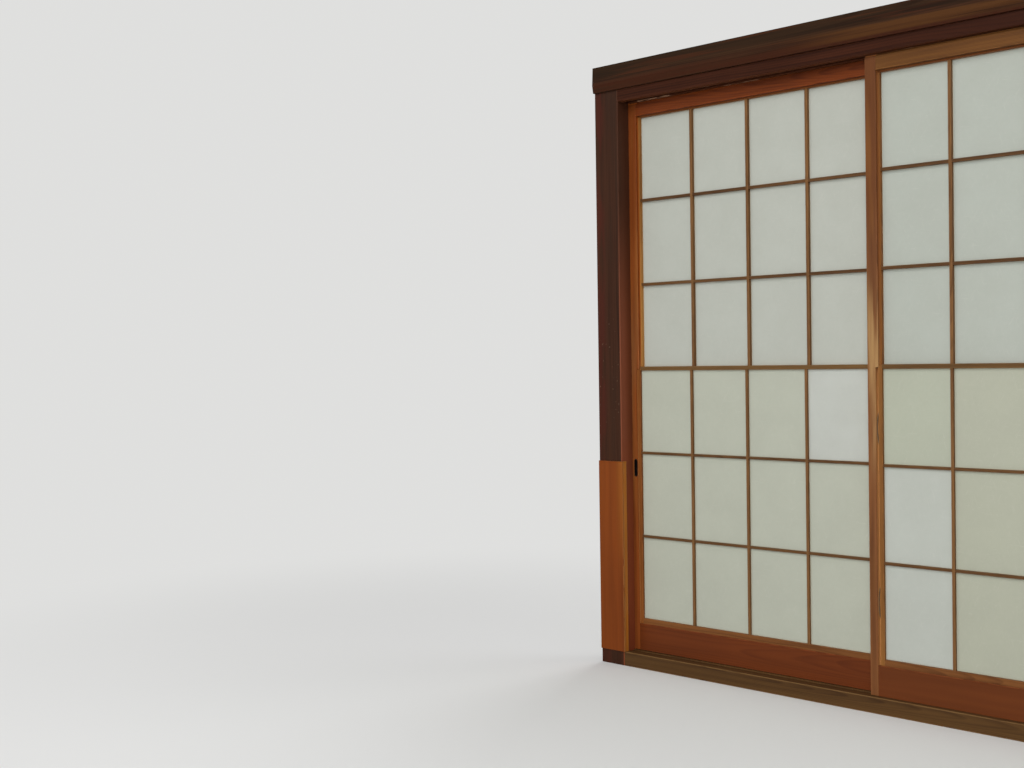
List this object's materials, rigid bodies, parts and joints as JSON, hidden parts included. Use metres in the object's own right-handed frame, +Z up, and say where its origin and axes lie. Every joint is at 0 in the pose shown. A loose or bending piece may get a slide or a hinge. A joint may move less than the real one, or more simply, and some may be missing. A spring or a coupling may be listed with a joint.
{
  "type": "shoji sliding screen",
  "caption": "Pair of papered timber lattice screens that slide past each other in a grooved frame, each with a lower sash that lifts to uncover glass",
  "frame": {"origin": "middle of the sill's underside, on the centre line of the frame's depth", "axes": "+X along the wall to the right seen from the room, -Y into the room, +Z up"},
  "size_m": [1.937, 0.12, 1.9215],
  "materials": {
    "frame_timber": "aged softwood stained brown, satin",
    "trim_timber": "aged softwood stained dark brown, satin",
    "guard_timber": "red brown stain under varnish, satin gloss",
    "screen_timber": "red brown stain, worn satin",
    "sash_timber": "red brown stain, worn satin",
    "lattice_timber": "light brown softwood, planed",
    "paper": "translucent white paper with fibres",
    "glass": "clear sheet",
    "pull_metal": "blackened, satin",
    "spring_steel": "bare strip"
  },
  "bodies": {
    "frame": {"sill": "frame_timber", "head": "frame_timber", "left_post": "frame_timber", "right_post": "frame_timber", "trim_beam": "trim_timber", "post_guard_front": "guard_timber", "post_guard_side": "guard_timber"},
    "left_panel": {"left_bottom_rail": "screen_timber", "left_edge_strips": "lattice_timber", "left_finger_pull": "pull_metal", "left_glass_pane": "glass", "left_meeting_stile": "screen_timber", "left_middle_rail": "screen_timber", "left_outer_stile": "screen_timber", "left_top_rail": "screen_timber", "left_upper_crossbar_1": "lattice_timber", "left_upper_crossbar_2": "lattice_timber", "left_upper_paper": "paper", "left_upper_upright_1": "lattice_timber", "left_upper_upright_2": "lattice_timber", "left_upper_upright_3": "lattice_timber"},
    "left_sash": {"left_sash_bottom_rail": "sash_timber", "left_sash_crossbar_1": "lattice_timber", "left_sash_crossbar_2": "lattice_timber", "left_sash_meeting_stile": "sash_timber", "left_sash_outer_stile": "sash_timber", "left_sash_paper": "paper", "left_sash_springs": "spring_steel", "left_sash_top_rail": "sash_timber", "left_sash_upright_1": "lattice_timber", "left_sash_upright_2": "lattice_timber", "left_sash_upright_3": "lattice_timber"},
    "right_panel": {"right_bottom_rail": "screen_timber", "right_edge_strips": "lattice_timber", "right_finger_pull": "pull_metal", "right_glass_pane": "glass", "right_meeting_stile": "screen_timber", "right_middle_rail": "screen_timber", "right_outer_stile": "screen_timber", "right_top_rail": "screen_timber", "right_upper_crossbar_1": "lattice_timber", "right_upper_crossbar_2": "lattice_timber", "right_upper_paper": "paper", "right_upper_upright_1": "lattice_timber", "right_upper_upright_2": "lattice_timber", "right_upper_upright_3": "lattice_timber"},
    "right_sash": {"right_sash_bottom_rail": "sash_timber", "right_sash_crossbar_1": "lattice_timber", "right_sash_crossbar_2": "lattice_timber", "right_sash_meeting_stile": "sash_timber", "right_sash_outer_stile": "sash_timber", "right_sash_paper": "paper", "right_sash_springs": "spring_steel", "right_sash_top_rail": "sash_timber", "right_sash_upright_1": "lattice_timber", "right_sash_upright_2": "lattice_timber", "right_sash_upright_3": "lattice_timber"}
  },
  "joints": [
    {"name": "left_panel_slide", "type": "slide", "parent": "frame", "child": "left_panel", "axis": [1, 0, 0], "range_m": [0, 0.863]},
    {"name": "right_panel_slide", "type": "slide", "parent": "frame", "child": "right_panel", "axis": [-1, 0, 0], "range_m": [0, 0.863]},
    {"name": "left_sash_lift", "type": "slide", "parent": "left_panel", "child": "left_sash", "axis": [0, 0, 1], "range_m": [0, 0.8]},
    {"name": "right_sash_lift", "type": "slide", "parent": "right_panel", "child": "right_sash", "axis": [0, 0, 1], "range_m": [0, 0.8]}
  ]
}
